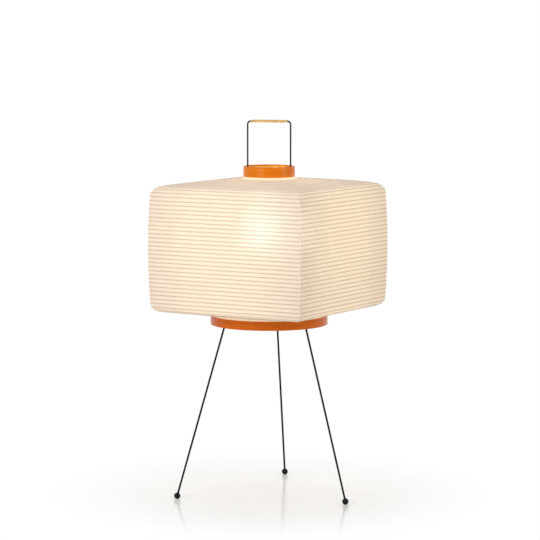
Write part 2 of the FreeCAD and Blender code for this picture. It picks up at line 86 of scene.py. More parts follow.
# The bamboo hoops, with their depth behind the paper's face and their waver in millimetres
RIB_RADIUS = 0.6 * MM
RIB_DEPTH = 1.1 * MM
RIB_FLATNESS = 0.9
RIB_WAVER = (0.02, 0.05)
RIB_WAVES = (2, 3, 5)
RIB_SEED = 7

# The handle's crosspiece and the cane round it
HANDLE_ANGLE = math.radians(21.5)
HANDLE_Z = 756.95 * MM
HANDLE_WIRE = 1.6 * MM
CANE_LENGTH = 73.9 * MM
CANE_TURNS = 24
CANE_THICKNESS = 1.4 * MM
CANE_FIT = 0.05 * MM
CANE_HALF_WIDTH = 0.485
CANE_CROWN = 0.12
TUCKED_THICKNESS = 0.35
TUCKED_TURNS = 0.6
CANE_EDGE_POWER = 0.45
CANE_FACE_POWER = 0.6
CANE_UNEVEN = (0.01, 0.03)
CANE_WAVES = (0.7, 1.9, 3.1)
CANE_SEED = 11

# Fineness of the meshes
FOOT_SAMPLES = 40
TOP_SAMPLES = 400
BEND_SAMPLES = 200
SIDE_SAMPLES = 800
UNDERSIDE_SAMPLES = 200
CORNER_STEPS = 9
FLAT_STEPS = 18
ROWS_PER_RIB = 8
NECK_ROWS = 4
RIB_SECTION = 6
CANE_STEPS = 40
CANE_SECTION = 12

# Where the paper's pattern changes, from and to, counted in hoop spacings from the top collar
TOP_COLLAR_EDGE = (0.3, 1.2)
FIRST_HOOP = (0.5, 0.7)
TOP_TO_SIDE = (12.5, 16.0)
SIDE_TO_UNDERSIDE = (44.5, 47.5)
BOTTOM_COLLAR_EDGE = (51.2, 51.9)
LAST_HOOP = (51.3, 51.5)
TOP_GLOW_CHANGES = (1.0, 13.0)
CREASES_FADE = (10, 16)
SHADOW_FADE = (0.03, 0.25)

# Laps and creases: their reach from a seam, a crease's drift at each hoop, and its strength lower down
LAP_EDGE = (1.4 * MM, 2.2 * MM)
CREASE_REACH = (2 * MM, 45 * MM)
CREASE_DRIFT = 0.6 * MM
CREASES_BELOW_TOP = 0.25

# Colours of the paper
PAPER_TONES = (0.555, 0.465, 0.42, 1), (0.61, 0.52, 0.475, 1)
FIBRE_TONE = (0.70, 0.62, 0.57, 1)
LAP_TONE = (0.66, 0.60, 0.56, 1)
HOOP_SHADOW = (0.36, 0.25, 0.20, 1)
CREASE_SHADOW = (0.42, 0.32, 0.26, 1)
GLOW_TONE = (1.0, 0.79, 0.48, 1)
GLOW_TONE_AT_HOOP = (1.0, 0.72, 0.40, 1)

# How the bulb shows through each sheet of the paper: the share that is clear, its haze and its bend
OUTER_CLEAR_SHARE = 0.07
OUTER_CLEAR_TONE = (0.7, 0.95, 0.9, 1)
OUTER_HAZE = 0.08
INNER_CLEAR_SHARE = 0.4
INNER_CLEAR_TONE = (1, 1, 1, 1)
INNER_HAZE = 0.8
INNER_SHADE_TONE = (0.8, 0.72, 0.6, 1)
PAPER_IOR = 1.3

# How brightly the paper glows, and where it glows less or more
OUTER_GLOW = 0.52
INNER_GLOW = 0.6
GLOW_HEIGHT = 547.0 * MM
GLOW_REACH = 0.17
FAR_GLOW = 0.88
TOP_GLOW_ADDED = (0.16, -0.27)
UNDERSIDE_GLOW = 0.74
CORNER_REACH = (-0.02, 0.13)
CORNER_GLOW = 0.69
TOP_EDGE_GLOW = 0.55
BOTTOM_EDGE_GLOW = 0.4
HOOP_DIMMING = 0.42
LAP_COVER = 0.45

# Colours of the other finishes, each from its darker to its lighter tone
LACQUER_GRAIN = (0.58, 0.095, 0.001, 1), (0.88, 0.235, 0.002, 1)
LACQUER_BAND = (0.92, 0.29, 0.003, 1)
LACQUER_STREAK = (0.35, 0.045, 0.001, 1)
# Painted shade on the large collar below the paper shade, fading out between these heights in metres
LARGE_COLLAR_PAINTED_SHADE = (0.76, 0.58, 0.6, 1)
LARGE_TO_SMALL_COLLAR = (0.4, 0.6)
OILED_WOOD = (0.62, 0.25, 0.02, 1), (0.86, 0.42, 0.045, 1)
BAMBOO = (0.40, 0.24, 0.10, 1), (0.60, 0.42, 0.20, 1)
CANE = (0.56, 0.31, 0.09, 1), (0.79, 0.53, 0.21, 1)
CANE_PATCH = (0.72, 0.46, 0.18, 1)
BLACK = (0.006, 0.006, 0.0065, 1), (0.011, 0.011, 0.012, 1)
ZINC = (0.50, 0.50, 0.49, 1), (0.66, 0.66, 0.64, 1)
BRASS = (0.62, 0.42, 0.16, 1), (0.78, 0.58, 0.26, 1)
HOLDER_BLACK = (0.016, 0.015, 0.014, 1), (0.024, 0.022, 0.02, 1)
BRIGHT_CAP = (0.60, 0.60, 0.58, 1), (0.72, 0.72, 0.70, 1)
INSULATOR = (0.012, 0.012, 0.014, 1), (0.02, 0.02, 0.022, 1)
OPAL = (0.5, 0.47, 0.43, 1)
OPAL_GLOW_TONE = (1.0, 0.82, 0.52, 1)

# The bulb
BULB_CENTRE_Z = 537.0 * MM
BULB_LIGHT_RADIUS = 31.0 * MM
BULB_POWER = 1.1
BULB_LIGHT_TONE = (1.0, 0.97, 0.92)
BULB_STRENGTH = 0.6
BULB_NECK_STRENGTH = 0.5
BULB_NECK_TO_GLOBE = (0.487, 0.510)

# The room and its lamps
ROOM_LIGHT = 0.36
LEFT_POWER = 30.0
RIGHT_POWER = 16.5
RIGHT_TONE = (1.0, 0.96, 0.90)
TOP_POWER = 10.5
LAMPS_AIM_AT = 0.45
FLOOR_HALF = 8.0
FLOOR_LIFT = 0.16
OPEN_FLOOR = (0.2, 0.5)
FLOOR_TONE = (0.86, 0.855, 0.84, 1)
WHITE = (1, 1, 1, 1)

# The camera
CAMERA_ANGLE = math.radians(31.2)
CAMERA_DROP = math.radians(5.99)
CAMERA_BACK = 4.9155
CAMERA_SIDE = 0.00178
CAMERA_HEIGHT = 0.9718
CAMERA_SENSOR = 36
CAMERA_LENS = 162.9


# Objects and meshes
def placed(name, data):
    """Make an object of some data and put it in the scene."""
    made = bpy.data.objects.new(name, data)
    bpy.context.scene.collection.objects.link(made)
    return made


def piece_from(name, points, faces, body, replaced, materials, place=None):
    """Make a piece from an array of points and its faces, with an optional pair of numbers at each point
    kept as a UV map, give it its body and materials, and hide the nodes it replaces."""
    mesh = bpy.data.meshes.new(name)
    mesh.from_pydata(points.tolist(), [], faces if isinstance(faces, list) else faces.tolist())
    mesh.polygons.foreach_set("use_smooth", np.ones(len(faces), bool))
    if place is not None:
        corners = np.empty(len(mesh.loops), np.int32)
        mesh.loops.foreach_get("vertex_index", corners)
        uv = mesh.uv_layers.new(name="place")
        uv.data.foreach_set("uv", place[corners].astype(np.float32).ravel())
    mesh.update()
    piece = placed(name, mesh)
    for material in materials:
        mesh.materials.append(material)
    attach(piece, body)
    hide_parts(*replaced)
    return piece


def grid_faces(rows, columns, closed_rows=False, closed_columns=False):
    """Quads of a grid of points numbered row by row. Each joins a point, its right neighbour and the two
    points of the next row; a closed direction wraps round to its start."""
    row = np.arange(rows if closed_rows else rows - 1)[:, None]
    column = np.arange(columns if closed_columns else columns - 1)[None, :]
    next_row = (row + 1) % rows
    next_column = (column + 1) % columns
    quads = np.stack([
        row * columns + column, row * columns + next_column,
        next_row * columns + next_column, next_row * columns + column,
    ], -1)
    return quads.reshape(-1, 4)


def turned_about_axis(points, angle):
    """Points turned about Z: x and y by the turn's cosine and sine, z kept."""
    c, s = math.cos(angle), math.sin(angle)
    x, y, z = points[..., 0], points[..., 1], points[..., 2]
    return np.stack([c * x - s * y, s * x + c * y, z], -1)


# The shade's outline
def line_through(start, end, count):
    """Points on a straight run, by equal shares of its length."""
    share = np.linspace(0, 1, count)[:, None]
    return np.asarray(start) * (1 - share) + np.asarray(end) * share


def arc_through(start, middle, end, count):
    """Points on the circle through three points. Its centre is as far from all three; the points turn
    about it by equal angles from the first past the second to the third."""
    a, b, c = (np.asarray(p, float) for p in (start, middle, end))
    sides = 2 * np.array([b - a, c - a])
    centre = np.linalg.solve(sides, np.array([b @ b - a @ a, c @ c - a @ a]))
    first, last = (math.atan2(*(p - centre)[::-1]) for p in (a, c))
    sweep = (last - first + math.pi) % (2 * math.pi) - math.pi
    angle = first + sweep * np.linspace(0, 1, count)
    radius = np.hypot(*(a - centre))
    return centre + radius * np.stack([np.cos(angle), np.sin(angle)], -1)


def bend_points(start, corner, end, radius):
    """Where an arc that rounds a corner begins, its middle and where it ends: the radius over the tangent of
    half the corner's angle along each side."""
    start, corner, end = (np.asarray(p, float) for p in (start, corner, end))
    back = (start - corner) / np.linalg.norm(start - corner)
    ahead = (end - corner) / np.linalg.norm(end - corner)
    half = math.acos(back @ ahead) / 2
    inward = (back + ahead) / np.linalg.norm(back + ahead)
    reach = radius / math.tan(half)
    middle = corner + inward * (radius / math.sin(half) - radius)
    return corner + back * reach, middle, corner + ahead * reach


def shade_outline(count):
    """Points of the shade's outline as distance from the axis and height, spaced evenly along it: a short
    slope under the top collar, a slightly crowned top, a round bend, a bulged side, a round bend, a sloping
    underside and a short slope to the bottom collar. Also the outline's length."""
    top_foot = (TOP_PAPER_RADIUS, TOP_FOOT_Z)
    bottom_foot = (BOTTOM_PAPER_RADIUS, BOTTOM_FOOT_Z)
    high_corner, low_corner = (SHADE_HALF, SHADE_HIGH), (SHADE_HALF, SHADE_LOW)
    high = bend_points(TOP_SHOULDER, high_corner, low_corner, TOP_BEND)
    low = bend_points(high_corner, low_corner, BOTTOM_SHOULDER, LOW_BEND)
    crown = (np.asarray(TOP_SHOULDER) + high[0]) / 2 + (0, TOP_CROWN)
    bulge = (high[2] + low[0]) / 2 + (SIDE_BULGE, 0)
    runs = [
        line_through(top_foot, TOP_SHOULDER, FOOT_SAMPLES),
        arc_through(TOP_SHOULDER, crown, high[0], TOP_SAMPLES),
        arc_through(*high, BEND_SAMPLES),
        arc_through(high[2], bulge, low[0], SIDE_SAMPLES),
        arc_through(*low, BEND_SAMPLES),
        line_through(low[2], BOTTOM_SHOULDER, UNDERSIDE_SAMPLES),
        line_through(BOTTOM_SHOULDER, bottom_foot, FOOT_SAMPLES),
    ]
    points = np.concatenate([runs[0]] + [run[1:] for run in runs[1:]])
    along = np.concatenate([[0], np.cumsum(np.linalg.norm(np.diff(points, axis=0), axis=1))])
    even = np.linspace(0, along[-1], count)
    reach = np.interp(even, along, points[:, 0])
    level = np.interp(even, along, points[:, 1])
    return np.stack([reach, level], -1), along[-1]


def outward_of(points):
    """Unit vectors square to a line of points, to its left as it runs down the outside of the shade."""
    way = np.gradient(points, axis=0)
    way /= np.linalg.norm(way, axis=1, keepdims=True)
    return np.stack([-way[:, 1], way[:, 0]], -1)


def corner_size(reach, level):
    """The corner radius of a level section: small where the shade is widest, growing with the fourth power
    of the way in to a collar until the section is nearly round."""
    neck = np.where(level > (SHADE_HIGH + SHADE_LOW) / 2, TOP_PAPER_RADIUS, BOTTOM_PAPER_RADIUS)
    nearness = np.clip((SHADE_HALF - reach) / (SHADE_HALF - neck), 0, 1)
    return SHADE_CORNER + (neck - NECK_FLAT - SHADE_CORNER) * nearness ** SQUARENESS


def side_sections(reach, corner):
    """Level sections of the side that faces +X, one row for each reach and corner radius: half a corner arc,
    a straight and half a corner arc, as x and y. Also the length along each from its start."""
    reach, corner = reach[:, None], corner[:, None]
    centre = reach - corner
    turn = np.linspace(0, math.pi / 4, CORNER_STEPS + 1)[None, :]
    flat = np.linspace(-1, 1, FLAT_STEPS + 1)[None, 1:-1]
    first_x = centre + corner * np.cos(math.pi / 4 - turn)
    first_y = -centre - corner * np.sin(math.pi / 4 - turn)
    last_x = centre + corner * np.cos(turn)
    last_y = centre + corner * np.sin(turn)
    x = np.concatenate([first_x, reach + 0 * flat, last_x], 1)
    y = np.concatenate([first_y, centre * flat, last_y], 1)
    steps = np.hypot(np.diff(x, axis=1), np.diff(y, axis=1))
    along = np.concatenate([np.zeros((len(x), 1)), np.cumsum(steps, axis=1)], 1)
    return x, y, along


def neck_run(radius, start, end):
    """Points of the paper's neck inside a collar: equal steps in height at one distance from the axis."""
    return np.stack([np.full(NECK_ROWS, radius), np.linspace(start, end, NECK_ROWS + 1)[:-1]], -1)


def paper_outline():
    """The outline of the paper from neck to neck with, at each of its points, the outward way, the place
    counted in hoop spacings and the draw-in. The draw-in is the greatest one times the power 0.8 of the sine
    of the way from hoop to hoop, and nothing in the necks, where the paper is clamped."""
    rows = RIB_PITCHES * ROWS_PER_RIB + 1
    outline, length = shade_outline(rows)
    out = outward_of(outline)
    out[0], out[-1] = (1, 0), (1, 0)
    station = np.linspace(0, RIB_PITCHES, rows)
    dip = PAPER_DRAW_IN * np.abs(np.sin(math.pi * station)) ** DRAW_IN_POWER
    top_neck = neck_run(TOP_PAPER_RADIUS, TOP_NECK_Z, TOP_FOOT_Z)
    bottom_neck = neck_run(BOTTOM_PAPER_RADIUS, BOTTOM_NECK_Z, BOTTOM_FOOT_Z)[::-1]
    level_out = np.tile([1.0, 0.0], (NECK_ROWS, 1))
    pitch = length / RIB_PITCHES
    above = -(top_neck[:, 1] - TOP_FOOT_Z) / pitch
    below = RIB_PITCHES + (BOTTOM_FOOT_Z - bottom_neck[:, 1]) / pitch
    return (
        np.concatenate([top_neck, outline, bottom_neck]),
        np.concatenate([level_out, out, level_out]),
        np.concatenate([above, station, below]),
        np.concatenate([np.zeros(NECK_ROWS), dip, np.zeros(NECK_ROWS)]),
    )


def uneven_draw_in(number, station, dip):
    """How deep the paper of a side sinks at each point: its draw-in, a little more or less by the sum of
    slow waves that run across and down the side, calm at the hoops and at the glued corners."""
    rng = np.random.default_rng(UNEVEN_SEED + number)
    columns = 2 * CORNER_STEPS + FLAT_STEPS + 1
    across = np.linspace(-1, 1, columns)[None, :]
    calm = (1 - across ** CALM_EDGE_POWER) * np.clip(dip / PAPER_DRAW_IN, 0, 1)[:, None]
    swell = np.zeros((len(station), columns))
    for _ in range(UNEVEN_WAVES):
        swell += rng.uniform(0.4, 1) * np.sin(
            rng.uniform(3, 9) * across + rng.uniform(0.4, 2.2) * station[:, None] + rng.uniform(0, 6))
    return dip[:, None] + UNEVEN_SHARE * PAPER_DRAW_IN * calm * swell


def paper_sheet(outline, out, size, sunk, depth):
    """One face of a side's paper: the level sections of the outline moved in by a depth, each point sunk by
    its own draw-in. Also the length along each section from its start."""
    reach = outline[:, 0] - depth * out[:, 0]
    x, y, along = side_sections(reach, np.maximum(size - depth * out[:, 0], LEAST_CORNER))
    z = (outline[:, 1] - depth * out[:, 1])[:, None] + 0 * x
    x = x - sunk * out[:, :1]
    z = z - sunk * out[:, 1:]
    return np.stack([x, y, z], -1), along


def paper_side(number, papers):
    """One side of the paper shade as a closed thin sheet. Down the shade a point follows the outline, drawn
    in between the hoops; across it follows the level section. The inner face lies a wall thickness inside,
    and the edges are closed."""
    outline, out, station, dip = paper_outline()
    size = corner_size(outline[:, 0], outline[:, 1])
    sunk = uneven_draw_in(number, station, dip)
    outer, along = paper_sheet(outline, out, size, sunk, 0)
    inner, _ = paper_sheet(outline, out, size, sunk, PAPER_WALL)
    # The corner columns are drawn in towards the axis too, so that neighbouring sides meet
    shrink = 1 - sunk / np.maximum(outer[..., 0] + sunk, MM)
    past_flat = np.abs(outer[..., 1]) - (outline[:, 0] - size)[:, None]
    weight = np.clip(past_flat / np.maximum(size, MM)[:, None], 0, 1)
    outer[..., 1] *= 1 - weight * (1 - shrink)
    inner[..., 1] *= 1 - weight * (1 - shrink)
    # The pattern's place: the distance from the nearer seam, and the count of hoop spacings
    from_seam = np.minimum(along, along[:, -1:] - along)
    place = np.stack([from_seam, station[:, None] + 0 * from_seam], -1)
    count = outer.shape[0] * outer.shape[1]
    sides = grid_faces(*outer.shape[:2])
    numbers = np.arange(count).reshape(outer.shape[:2])
    rim = np.concatenate([numbers[0], numbers[1:, -1], numbers[-1, -2::-1], numbers[-2:0:-1, 0]])
    edge = np.stack([rim, np.roll(rim, -1), np.roll(rim, -1) + count, rim + count], -1)
    faces = np.concatenate([sides[:, ::-1], sides + count, edge])
    points = np.concatenate([outer.reshape(-1, 3), inner.reshape(-1, 3)])
    points = turned_about_axis(points, number * math.pi / 2)
    both = np.concatenate([place.reshape(-1, 2)] * 2)
    node = "paper_panel_%d" % number
    side = piece_from("paper_side_%d" % number, points, faces, "shade", [node], papers, both)
    inside = np.zeros(len(faces), np.int32)
    inside[len(sides):2 * len(sides)] = 1
    side.data.polygons.foreach_set("material_index", inside)
    return side


def bamboo_ribs(material):
    """Hoops of split bamboo, one behind each crest of the paper. A hoop follows the level section a little
    inside the outline's crest, its height and reach wavering by a few slow waves; its section is an ellipse
    whose flat side lies on the paper."""
    outline, _ = shade_outline(2 * RIB_PITCHES + 1)
    out = outward_of(outline)
    crest = np.arange(2, 2 * RIB_PITCHES, 2)
    centre = outline[crest] - out[crest] * RIB_DEPTH
    size = corner_size(outline[crest, 0], outline[crest, 1]) - RIB_DEPTH * np.maximum(out[crest, 0], 0)
    x, y, _ = side_sections(centre[:, 0], size)
    quarter = np.stack([x, y, 0 * x], -1)[:, :-1]
    path = np.concatenate([turned_about_axis(quarter, side * math.pi / 2) for side in range(4)], 1)
    steps = path.shape[1]
    turn = np.arctan2(path[..., 1], path[..., 0])
    rng = np.random.default_rng(RIB_SEED)
    waver = sum(
        rng.uniform(*RIB_WAVER, (len(crest), 1)) * MM * np.sin(k * turn + rng.uniform(0, 6, (len(crest), 1)))
        for k in RIB_WAVES)
    ahead = np.roll(path, -1, axis=1) - np.roll(path, 1, axis=1)
    side_way = np.stack([ahead[..., 1], -ahead[..., 0]], -1)
    side_way /= np.linalg.norm(side_way, axis=-1, keepdims=True)
    reach_way = out[crest, 0][:, None, None]
    height_way = out[crest, 1][:, None, None]
    level = np.ones(turn.shape + (1,))
    # Across the hoop's thickness, square to the paper, and along its width, beside the paper
    deep = np.concatenate([side_way * reach_way, level * height_way], -1)
    wide = np.concatenate([side_way * -height_way, level * reach_way], -1)
    middle = path + [0, 0, 1] * (centre[:, 1][:, None, None])
    middle = middle + wide * waver[..., None]
    angle = np.linspace(0, 2 * math.pi, RIB_SECTION, endpoint=False) + math.pi / RIB_SECTION
    ring = (middle[:, :, None] + RIB_RADIUS * (
        RIB_FLATNESS * np.cos(angle)[:, None] * deep[:, :, None] + np.sin(angle)[:, None] * wide[:, :, None]))
    one = grid_faces(steps, RIB_SECTION, True, True)
    faces = np.concatenate([one + k * steps * RIB_SECTION for k in range(len(crest))])
    points = ring.reshape(-1, 3)
    return piece_from("bamboo_hoops", points, faces, "shade", ["bamboo_ribs"], [material])


def cane_grip(material):
    """One flat strip of cane on a helix. Along the strip the middle line turns about the wire by equal
    angles while it moves along it; its section is a flat oval, a little crowned outside, and the first and
    last turns thin out as they are tucked in."""
    pitch = CANE_LENGTH / CANE_TURNS
    count = CANE_TURNS * CANE_STEPS + 1
    turns = np.linspace(0, CANE_TURNS, count)
    angle = 2 * math.pi * turns
    rng = np.random.default_rng(CANE_SEED)
    uneven = sum(rng.uniform(*CANE_UNEVEN) * np.sin(k * turns + rng.uniform(0, 6)) for k in CANE_WAVES)
    along = pitch * (turns + uneven) - CANE_LENGTH / 2
    ends = np.clip(np.minimum(turns, CANE_TURNS - turns) / TUCKED_TURNS, 0, 1)
    ends = TUCKED_THICKNESS + (1 - TUCKED_THICKNESS) * ends * ends * (3 - 2 * ends)
    thick = CANE_THICKNESS * ends
    inner = HANDLE_WIRE + CANE_FIT
    section_angle = np.linspace(0, 2 * math.pi, CANE_SECTION, endpoint=False) + math.pi / CANE_SECTION
    c, s = np.cos(section_angle), np.sin(section_angle)
    across = np.sign(c) * np.abs(c) ** CANE_EDGE_POWER * (pitch * CANE_HALF_WIDTH)
    lift = 0.5 + 0.5 * np.sign(s) * np.abs(s) ** CANE_FACE_POWER
    crown = 1 - CANE_CROWN * (across / (pitch / 2)) ** 2
    reach = inner + thick[:, None] * lift[None, :] * crown[None, :]
    x = along[:, None] + across[None, :]
    y = reach * np.cos(angle)[:, None]
    z = reach * np.sin(angle)[:, None]
    points = turned_about_axis(np.stack([x, y, z + HANDLE_Z], -1), HANDLE_ANGLE)
    step_length = 2 * math.pi * (inner + CANE_THICKNESS / 2) / CANE_STEPS
    along_strip = np.cumsum(np.full(count, step_length))
    place = np.stack([along_strip[:, None] + 0 * x, across[None, :] + 0 * x], -1)
    faces = grid_faces(count, CANE_SECTION, False, True).tolist()
    caps = [np.arange(CANE_SECTION)[::-1], np.arange(CANE_SECTION) + (count - 1) * CANE_SECTION]
    first_middle = count * CANE_SECTION
    for end, cap in enumerate(caps):
        fan = np.stack([cap, np.roll(cap, -1), np.full(CANE_SECTION, first_middle + end)], -1)
        faces += fan.tolist()
    middles = np.stack([points[0].mean(0), points[-1].mean(0)])
    everything = np.concatenate([points.reshape(-1, 3), middles])
    places = np.concatenate([place.reshape(-1, 2), place[[0, -1], 0]])
    return piece_from("cane_winding", everything, faces, "frame", ["grip_cane"], [material], places)


# Shader helpers
def node(tree, kind, inputs=None, **settings):
    """Add a shader node, set its properties, and give each named input a value or a link."""
    made = tree.nodes.new(kind)
    for name, value in settings.items():
        setattr(made, name, value)
    for name, value in (inputs or {}).items():
        if isinstance(value, bpy.types.NodeSocket):
            tree.links.new(value, made.inputs[name])
        else:
            made.inputs[name].default_value = value
    return made


def maths(tree, operation, first, second=0.0, third=0.0):
    """The result of a Math node."""
    return node(tree, "ShaderNodeMath", {0: first, 1: second, 2: third}, operation=operation).outputs[0]


def times(tree, first, second):
    """The product of two values."""
    return maths(tree, "MULTIPLY", first, second)


def plus(tree, first, second):
    """The sum of two values."""
    return maths(tree, "ADD", first, second)


def distance_from(tree, value, middle):
    """How far a value is from a middle one, either way."""
    return maths(tree, "ABSOLUTE", maths(tree, "SUBTRACT", value, middle))


def eased(tree, value, low, high, start=0.0, end=1.0):
    """A value's way from low to high as a smooth step from start to end."""
    inputs = {"Value": value, "From Min": low, "From Max": high, "To Min": start, "To Max": end}
    return node(tree, "ShaderNodeMapRange", inputs, interpolation_type="SMOOTHSTEP").outputs[0]


def mixed(tree, share, first, second, blend="MIX"):
    """Two colours mixed by a share."""
    made = node(tree, "ShaderNodeMix", {0: share, 6: first, 7: second}, data_type="RGBA", blend_type=blend)
    return made.outputs[2]


def noise(tree, where, scale, detail=2.0, rough=0.5, twist=0.0):
    """A noise pattern from 0 to 1."""
    inputs = {"Vector": where, "Scale": scale, "Detail": detail, "Roughness": rough, "Distortion": twist}
    return node(tree, "ShaderNodeTexNoise", inputs).outputs["Fac"]


def object_place(tree, stretch=(1, 1, 1)):
    """Object coordinates, each axis multiplied by its stretch."""
    place = node(tree, "ShaderNodeTexCoord").outputs["Object"]
    return node(tree, "ShaderNodeMapping", {"Vector": place, "Scale": stretch}).outputs[0]


def height_above_floor(tree):
    """The height of a point of an object that sits at the origin."""
    return node(tree, "ShaderNodeSeparateXYZ", {0: object_place(tree)}).outputs[2]


def bumped(tree, height, strength, distance):
    """A normal tilted by a height pattern of a given depth."""
    inputs = {"Height": height, "Strength": strength, "Distance": distance}
    return node(tree, "ShaderNodeBump", inputs).outputs[0]


def shaders_mixed(tree, share, first, second):
    """Two shaders mixed by a share."""
    return node(tree, "ShaderNodeMixShader", {0: share, 1: first, 2: second}).outputs[0]


def clear_part(tree, tone, haze):
    """What of the paper is clear, bending light a little and spreading it by its haze."""
    inputs = {"Color": tone, "Roughness": haze, "IOR": PAPER_IOR}
    return node(tree, "ShaderNodeBsdfRefraction", inputs).outputs[0]


def material_named(name, sockets):
    """A material, its node tree and its Principled shader, with values for that shader's sockets."""
    material = bpy.data.materials.new(name)
    material.use_nodes = True
    tree = material.node_tree
    skin = tree.nodes["Principled BSDF"]
    for socket, value in sockets.items():
        skin.inputs[socket].default_value = value
    return material, tree, skin


def feed(tree, skin, **sources):
    """Link sockets to a Principled shader's inputs; an underscore in a name stands for a space."""
    for name, source in sources.items():
        tree.links.new(source, skin.inputs[name.replace("_", " ")])


# The paper's patterns
def hoop_line(tree, rib, lap):
    """The shadow line of a hoop behind the paper: full over the hoop and fading out by a quarter of the
    spacing, from the first hoop to the last, and fainter where two sides lap."""
    line = eased(tree, maths(tree, "PINGPONG", rib, 0.5), *SHADOW_FADE, 1, 0)
    line = times(tree, line, eased(tree, rib, *FIRST_HOOP))
    line = times(tree, line, eased(tree, rib, *LAST_HOOP, 1, 0))
    return times(tree, line, maths(tree, "MULTIPLY_ADD", lap, -LAP_COVER, 1.0))


def crease_lines(tree, seam, rib):
    """Creases that run beside the corners, as relief and as painted shade: where a noise drawn out along the
    seam passes its middle value. They fade within 45 mm of the seam and are strongest on the top."""
    beside = node(tree, "ShaderNodeCombineXYZ", {0: seam, 1: times(tree, rib, CREASE_DRIFT)}).outputs[0]
    crease = eased(tree, distance_from(tree, noise(tree, beside, 230, 2, 0.5), 0.5), 0, 0.05, 1, 0)
    crease = times(tree, crease, eased(tree, seam, *CREASE_REACH, 1, 0))
    return times(tree, crease, eased(tree, rib, *CREASES_FADE, 1, CREASES_BELOW_TOP))


def bulb_glow(tree, seam, rib, line, cloud, power):
    """How brightly the paper glows with painted light, emission that stands in for the bulb's light through
    the paper: most level with the bulb, less on the top and underside and beside the corners, more right
    beside the collars, and less behind a hoop, a painted shadow."""
    level = distance_from(tree, height_above_floor(tree), GLOW_HEIGHT)
    glow = eased(tree, level, 0.0, GLOW_REACH, 1.0, FAR_GLOW)
    on_top = eased(tree, rib, *TOP_TO_SIDE, 1.0, 0.0)
    near_collar = eased(tree, rib, *TOP_GLOW_CHANGES, *TOP_GLOW_ADDED)
    glow = plus(tree, glow, times(tree, on_top, near_collar))
    glow = times(tree, glow, eased(tree, rib, *SIDE_TO_UNDERSIDE, 1.0, UNDERSIDE_GLOW))
    glow = times(tree, glow, eased(tree, seam, *CORNER_REACH, CORNER_GLOW, 1.0))
    glow = plus(tree, glow, eased(tree, rib, *TOP_COLLAR_EDGE, TOP_EDGE_GLOW, 0))
    glow = plus(tree, glow, eased(tree, rib, *BOTTOM_COLLAR_EDGE, 0, BOTTOM_EDGE_GLOW))
    glow = times(tree, glow, maths(tree, "MULTIPLY_ADD", line, -HOOP_DIMMING, 1.0))
    glow = times(tree, glow, maths(tree, "MULTIPLY_ADD", cloud, 0.12, 0.94))
    return times(tree, glow, power)


# Finishes
def paper_material(name, inside):
    """Warm white paper with fibres, with a painted shadow line where a hoop lies behind it and painted shade
    along its creases, paler where two sides lap. It glows by painted light, emission that stands in for
    the bulb's light through the paper, and lets the bulb show through. Rays on their way to the bulb pass
    the inner sheet, so that its light reaches the outer one."""
    material, tree, skin = material_named(name, {"Roughness": 0.75, "Specular IOR Level": 0.25})
    where = node(tree, "ShaderNodeSeparateXYZ", {0: node(tree, "ShaderNodeUVMap", uv_map="place").outputs[0]})
    seam, rib = where.outputs[0], where.outputs[1]
    lap = eased(tree, seam, *LAP_EDGE, 1, 0)
    line = hoop_line(tree, rib, lap)
    place = object_place(tree)
    cloud = noise(tree, place, 45, 4, 0.6)
    strand = distance_from(tree, noise(tree, place, 260, 2, 0.5, 2.5), 0.5)
    fibre = eased(tree, strand, 0.0, 0.035, 1, 0)
    crease = crease_lines(tree, seam, rib)
    color = mixed(tree, cloud, *PAPER_TONES)
    color = mixed(tree, times(tree, fibre, 0.35), color, FIBRE_TONE)
    color = mixed(tree, times(tree, lap, 0.3), color, LAP_TONE)
    # Painted shadow line of each hoop, as darker colour
    color = mixed(tree, times(tree, line, 0.42), color, HOOP_SHADOW)
    # Painted shade along the creases, as darker colour
    color = mixed(tree, times(tree, crease, 0.14), color, CREASE_SHADOW)
    relief = plus(tree, times(tree, fibre, 0.5), noise(tree, place, 900, 3, 0.6))
    relief = plus(tree, relief, times(tree, crease, 2.2))
    # Painted glow that stands in for the bulb's light through the paper
    glow = bulb_glow(tree, seam, rib, line, cloud, INNER_GLOW if inside else OUTER_GLOW)
    warm = mixed(tree, line, GLOW_TONE, GLOW_TONE_AT_HOOP)
    feed(tree, skin, Base_Color=color, Normal=bumped(tree, relief, 0.25, 0.0002),
         Emission_Strength=glow, Emission_Color=warm)
    if inside:
        on_its_way = node(tree, "ShaderNodeLightPath").outputs["Is Shadow Ray"]
        passed = node(tree, "ShaderNodeBsdfTransparent", {"Color": INNER_SHADE_TONE}).outputs[0]
        clear = clear_part(tree, INNER_CLEAR_TONE, INNER_HAZE)
        paper = shaders_mixed(tree, INNER_CLEAR_SHARE, skin.outputs[0], clear)
        surface = shaders_mixed(tree, on_its_way, paper, passed)
    else:
        clear = clear_part(tree, OUTER_CLEAR_TONE, OUTER_HAZE)
        surface = shaders_mixed(tree, OUTER_CLEAR_SHARE, skin.outputs[0], clear)
    tree.links.new(surface, tree.nodes["Material Output"].inputs["Surface"])
    return material


